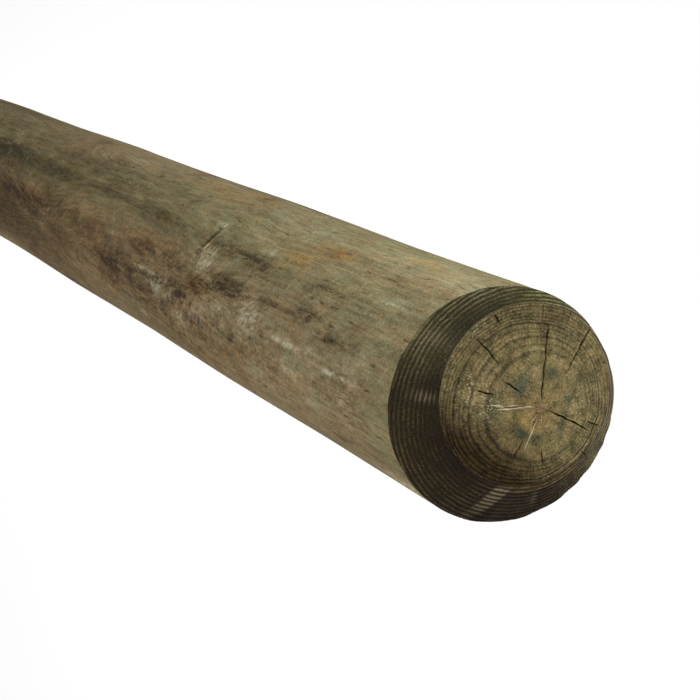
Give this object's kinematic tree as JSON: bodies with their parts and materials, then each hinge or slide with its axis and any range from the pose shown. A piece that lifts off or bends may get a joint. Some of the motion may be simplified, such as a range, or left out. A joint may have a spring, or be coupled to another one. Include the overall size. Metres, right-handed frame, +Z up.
{
  "type": "pine pole",
  "caption": "Round treated pine pole with a slight natural taper, a square-sawn butt and a chamfered, checked top end, set upright as a post or mast.",
  "frame": {"origin": "Centre of the sawn butt face, on the ground plane.", "axes": "+Z runs up the pole from the butt to the chamfered end. The chamfer is narrowest on the -X side and widest on the +X side."},
  "size_m": [0.1318, 0.1379, 2.4],
  "materials": {
    "treated_pine": "matte"
  },
  "bodies": {
    "root": {"pine_pole": "treated_pine"}
  },
  "joints": []
}
